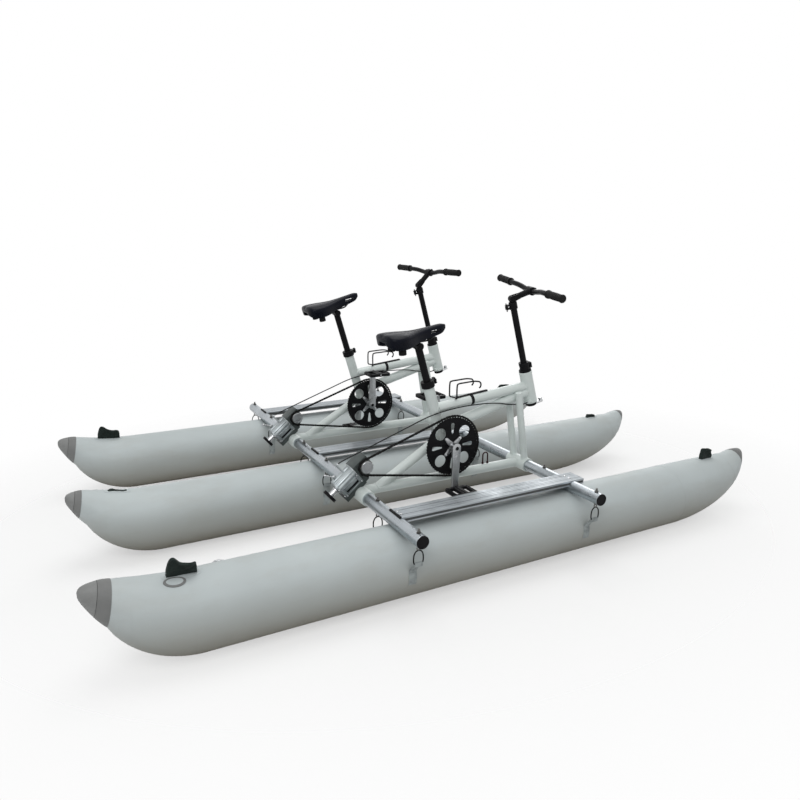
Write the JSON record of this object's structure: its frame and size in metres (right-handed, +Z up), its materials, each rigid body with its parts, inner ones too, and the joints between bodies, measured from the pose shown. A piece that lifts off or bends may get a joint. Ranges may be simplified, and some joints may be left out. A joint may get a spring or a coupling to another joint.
{
  "type": "water bike",
  "caption": "Two-seat pedal water bike: bike frames with chain drives and swivelling handlebars on a tube deck over inflatable pontoons.",
  "frame": {"origin": "middle of the box's base, under the middle pontoon", "axes": "+X towards the bow, +Y to port, +Z up"},
  "size_m": [2.938, 1.974, 1.1089],
  "materials": {
    "pontoon_skin": "coated PVC fabric, satin",
    "beam": "anodised tube, satin",
    "deck_plank": "grooved extrusion, satin",
    "frame_paint": "white powder coat",
    "black_wire": "black coated wire",
    "chain": "oiled roller chain",
    "black_alloy": "black anodised, satin",
    "bare_alloy": "forged, bare",
    "pedal": "moulded black plastic",
    "cast_housing": "ribbed casting, bare",
    "dark_casting": "dark painted casting",
    "bright_steel": "turned, bright",
    "cable_cover": "smooth black cable cover",
    "grip_rubber": "moulded grip",
    "saddle_cover": "padded black cover",
    "loop_rubber": "dark rubber"
  },
  "bodies": {
    "deck": {"pontoon_starboard": "pontoon_skin", "pontoon_centre": "pontoon_skin", "pontoon_port": "pontoon_skin", "rear_beam": "beam", "front_beam": "beam", "plank_starboard": "deck_plank", "plank_centre": "deck_plank", "plank_port": "deck_plank", "lashing_loop": "loop_rubber", "lower_frame_starboard": "frame_paint", "main_frame_starboard": "frame_paint", "bottle_cage_starboard": "black_wire", "drive_chain_starboard": "chain", "gear_housing_starboard": "cast_housing", "drive_bracket_starboard": "dark_casting", "steering_cable_starboard": "cable_cover", "seat_collar_starboard": "black_alloy", "lower_frame_port": "frame_paint", "main_frame_port": "frame_paint", "bottle_cage_port": "black_wire", "drive_chain_port": "chain", "gear_housing_port": "cast_housing", "drive_bracket_port": "dark_casting", "steering_cable_port": "cable_cover", "seat_collar_port": "black_alloy"},
    "crank_starboard": {"chainwheel_starboard": "black_alloy", "crankset_starboard": "bare_alloy"},
    "right_pedal_body_starboard": {"right_pedal_starboard": "pedal"},
    "left_pedal_body_starboard": {"left_pedal_starboard": "pedal"},
    "input_starboard": {"input_shaft_starboard": "bright_steel"},
    "output_starboard": {"output_shaft_starboard": "bright_steel"},
    "steering_body_starboard": {"steerer_starboard": "black_alloy"},
    "mast_body_starboard": {"mast_starboard": "black_alloy"},
    "stem_body_starboard": {"stem_starboard": "black_alloy", "handlebar_starboard": "black_alloy", "right_grip_starboard": "grip_rubber", "left_grip_starboard": "grip_rubber"},
    "stem_lever_body_starboard": {"stem_lever_starboard": "black_alloy"},
    "drive_lever_body_starboard": {"drive_lever_starboard": "bright_steel"},
    "seat_post_body_starboard": {"seat_post_starboard": "black_alloy"},
    "saddle_body_starboard": {"saddle_starboard": "saddle_cover"},
    "seat_lever_body_starboard": {"seat_lever_starboard": "black_alloy"},
    "crank_port": {"chainwheel_port": "black_alloy", "crankset_port": "bare_alloy"},
    "right_pedal_body_port": {"right_pedal_port": "pedal"},
    "left_pedal_body_port": {"left_pedal_port": "pedal"},
    "input_port": {"input_shaft_port": "bright_steel"},
    "output_port": {"output_shaft_port": "bright_steel"},
    "steering_body_port": {"steerer_port": "black_alloy"},
    "mast_body_port": {"mast_port": "black_alloy"},
    "stem_body_port": {"stem_port": "black_alloy", "handlebar_port": "black_alloy", "right_grip_port": "grip_rubber", "left_grip_port": "grip_rubber"},
    "stem_lever_body_port": {"stem_lever_port": "black_alloy"},
    "drive_lever_body_port": {"drive_lever_port": "bright_steel"},
    "seat_post_body_port": {"seat_post_port": "black_alloy"},
    "saddle_body_port": {"saddle_port": "saddle_cover"},
    "seat_lever_body_port": {"seat_lever_port": "black_alloy"}
  },
  "joints": [
    {"name": "crank_spin_starboard", "type": "hinge", "parent": "deck", "child": "crank_starboard", "pos_m": [-0.042, -0.478, 0.4325], "axis": [0, 1, 0], "continuous": true},
    {"name": "right_pedal_spin_starboard", "type": "hinge", "parent": "crank_starboard", "child": "right_pedal_body_starboard", "pos_m": [-0.04586, -0.6125, 0.26254], "axis": [0, 1, 0], "continuous": true},
    {"name": "left_pedal_spin_starboard", "type": "hinge", "parent": "crank_starboard", "child": "left_pedal_body_starboard", "pos_m": [-0.03814, -0.3435, 0.60246], "axis": [0, 1, 0], "continuous": true},
    {"name": "input_spin_starboard", "type": "hinge", "parent": "deck", "child": "input_starboard", "pos_m": [-0.42898, -0.478, 0.4029], "axis": [0, 1, 0], "continuous": true},
    {"name": "output_spin_starboard", "type": "hinge", "parent": "deck", "child": "output_starboard", "pos_m": [-0.42898, -0.478, 0.4029], "axis": [0.766, 0, 0.6428], "continuous": true},
    {"name": "steering_starboard", "type": "hinge", "parent": "deck", "child": "steering_body_starboard", "pos_m": [0.386, -0.478, 0.6], "axis": [-0.2741, 0, 0.9617], "range_deg": [-31, 59]},
    {"name": "drive_lever_swing_starboard", "type": "hinge", "parent": "deck", "child": "drive_lever_body_starboard", "pos_m": [-0.54383, -0.478, 0.36397], "axis": [0, 1, 0], "range_deg": [-15.5, 29.5]},
    {"name": "mast_height_starboard", "type": "slide", "parent": "steering_body_starboard", "child": "mast_body_starboard", "axis": [-0.2741, 0, 0.9617], "range_m": [0, 0.08]},
    {"name": "stem_angle_starboard", "type": "hinge", "parent": "mast_body_starboard", "child": "stem_body_starboard", "pos_m": [0.2676, -0.478, 1.01546], "axis": [-0.2327, -0.9703, -0.0663], "range_deg": [-6, 54]},
    {"name": "stem_lever_swing_starboard", "type": "hinge", "parent": "mast_body_starboard", "child": "stem_lever_body_starboard", "pos_m": [0.24782, -0.47074, 0.97863], "axis": [-0.2741, 0, 0.9617], "range_deg": [0, 80]},
    {"name": "seat_height_starboard", "type": "slide", "parent": "deck", "child": "seat_post_body_starboard", "axis": [-0.2856, 0, 0.9584], "range_m": [-0.1, 0.05]},
    {"name": "saddle_tilt_starboard", "type": "hinge", "parent": "seat_post_body_starboard", "child": "saddle_body_starboard", "pos_m": [-0.18012, -0.478, 0.84902], "axis": [0, -1, 0], "range_deg": [-21, 9]},
    {"name": "seat_lever_swing_starboard", "type": "hinge", "parent": "deck", "child": "seat_lever_body_starboard", "pos_m": [-0.09864, -0.478, 0.70166], "axis": [-0.2856, 0, 0.9584], "range_deg": [-75, 0]},
    {"name": "crank_spin_port", "type": "hinge", "parent": "deck", "child": "crank_port", "pos_m": [-0.042, 0.309, 0.4325], "axis": [0, 1, 0], "continuous": true},
    {"name": "right_pedal_spin_port", "type": "hinge", "parent": "crank_port", "child": "right_pedal_body_port", "pos_m": [-0.03814, 0.1745, 0.60246], "axis": [0, 1, 0], "continuous": true},
    {"name": "left_pedal_spin_port", "type": "hinge", "parent": "crank_port", "child": "left_pedal_body_port", "pos_m": [-0.04586, 0.4435, 0.26254], "axis": [0, 1, 0], "continuous": true},
    {"name": "input_spin_port", "type": "hinge", "parent": "deck", "child": "input_port", "pos_m": [-0.42898, 0.309, 0.4029], "axis": [0, 1, 0], "continuous": true},
    {"name": "output_spin_port", "type": "hinge", "parent": "deck", "child": "output_port", "pos_m": [-0.42898, 0.309, 0.4029], "axis": [0.766, 0, 0.6428], "continuous": true},
    {"name": "steering_port", "type": "hinge", "parent": "deck", "child": "steering_body_port", "pos_m": [0.386, 0.309, 0.6], "axis": [-0.2741, 0, 0.9617], "range_deg": [-45, 45]},
    {"name": "drive_lever_swing_port", "type": "hinge", "parent": "deck", "child": "drive_lever_body_port", "pos_m": [-0.54383, 0.309, 0.36397], "axis": [0, 1, 0], "range_deg": [-22.5, 22.5]},
    {"name": "mast_height_port", "type": "slide", "parent": "steering_body_port", "child": "mast_body_port", "axis": [-0.2741, 0, 0.9617], "range_m": [0, 0.08]},
    {"name": "stem_angle_port", "type": "hinge", "parent": "mast_body_port", "child": "stem_body_port", "pos_m": [0.2676, 0.309, 1.01546], "axis": [0, -1, 0], "range_deg": [-30, 30]},
    {"name": "stem_lever_swing_port", "type": "hinge", "parent": "mast_body_port", "child": "stem_lever_body_port", "pos_m": [0.24697, 0.309, 0.97838], "axis": [-0.2741, 0, 0.9617], "range_deg": [0, 80]},
    {"name": "seat_height_port", "type": "slide", "parent": "deck", "child": "seat_post_body_port", "axis": [-0.2856, 0, 0.9584], "range_m": [-0.15, 0.012]},
    {"name": "saddle_tilt_port", "type": "hinge", "parent": "seat_post_body_port", "child": "saddle_body_port", "pos_m": [-0.19417, 0.309, 0.89618], "axis": [0, -1, 0], "range_deg": [-27, 3]},
    {"name": "seat_lever_swing_port", "type": "hinge", "parent": "deck", "child": "seat_lever_body_port", "pos_m": [-0.09864, 0.309, 0.70166], "axis": [-0.2856, 0, 0.9584], "range_deg": [-75, 0]}
  ],
  "couplings": [
    {"joint": "input_spin_starboard", "follows": "crank_spin_starboard", "ratio": 4.6154},
    {"joint": "output_spin_starboard", "follows": "crank_spin_starboard", "ratio": -4.6154},
    {"joint": "drive_lever_swing_starboard", "follows": "steering_starboard", "ratio": 0.5},
    {"joint": "input_spin_port", "follows": "crank_spin_port", "ratio": 4.6154},
    {"joint": "output_spin_port", "follows": "crank_spin_port", "ratio": -4.6154},
    {"joint": "drive_lever_swing_port", "follows": "steering_port", "ratio": 0.5}
  ]
}
